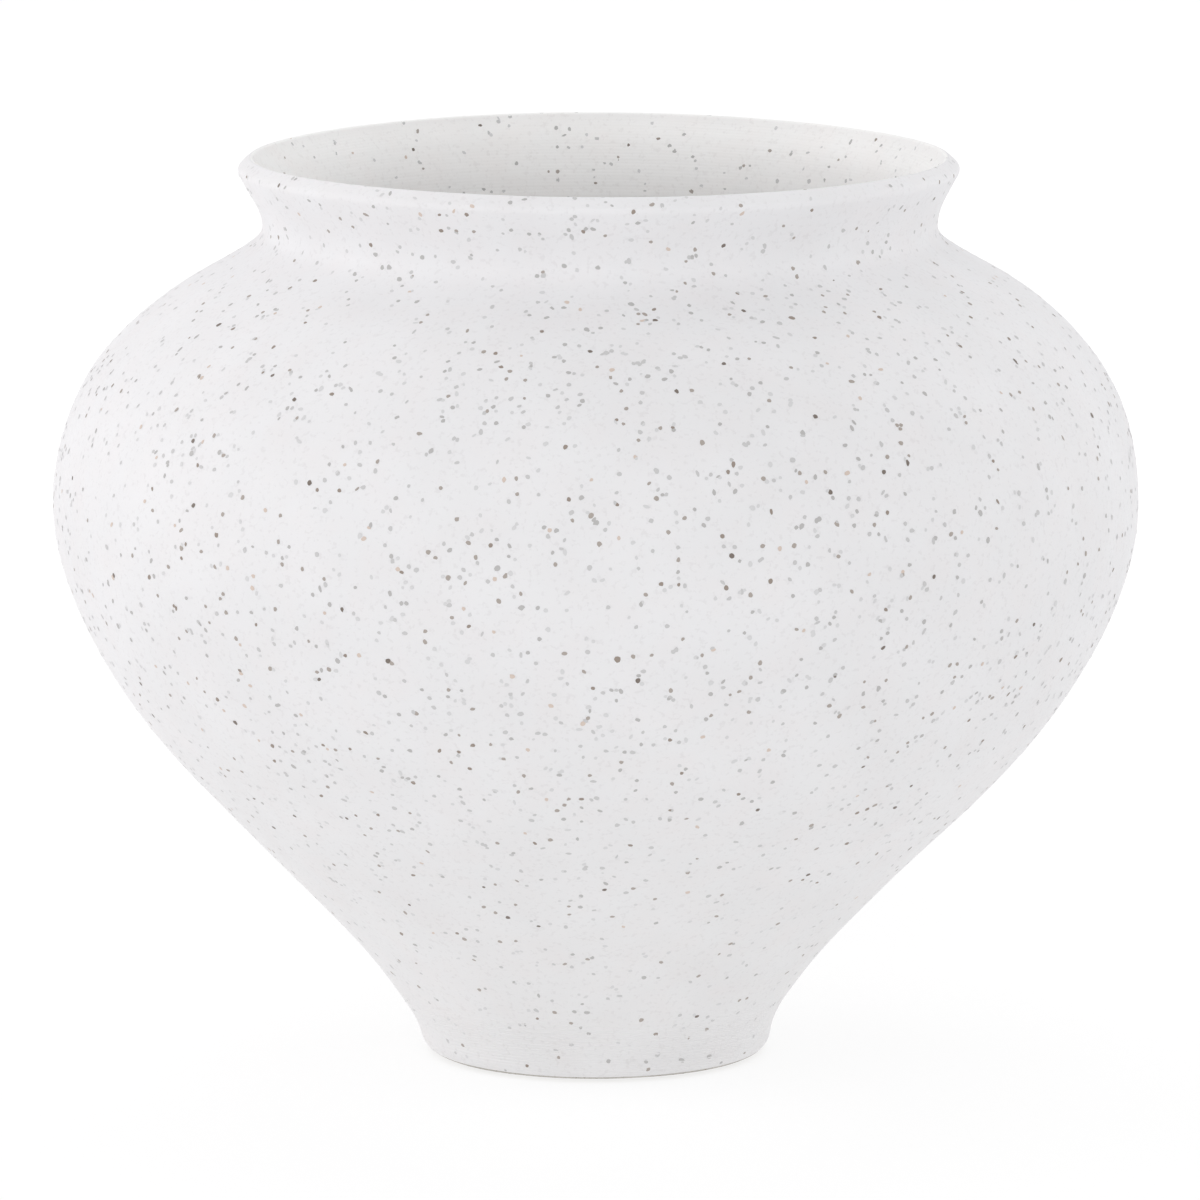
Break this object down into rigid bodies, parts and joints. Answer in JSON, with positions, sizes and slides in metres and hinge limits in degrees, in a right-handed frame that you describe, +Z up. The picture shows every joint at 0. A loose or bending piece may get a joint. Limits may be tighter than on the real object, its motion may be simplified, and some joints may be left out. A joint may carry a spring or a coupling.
{
  "type": "wide-mouthed shouldered vase",
  "caption": "Free-standing stoneware vase with a trimmed foot, full belly, broad shoulder, short neck and flared open mouth, on felt pads.",
  "frame": {"origin": "on the vase's axis, in the plane that its felt pads stand on", "axes": "+Z up along the axis that the vase was turned about; -Y is the front"},
  "size_m": [0.24, 0.24, 0.2012],
  "materials": {
    "stoneware": "matt speckled glaze",
    "felt": "pressed felt"
  },
  "bodies": {
    "root": {"vase_body": "stoneware", "felt_pad_right": "felt", "felt_pad_back": "felt", "felt_pad_left": "felt", "felt_pad_front": "felt"}
  },
  "joints": []
}
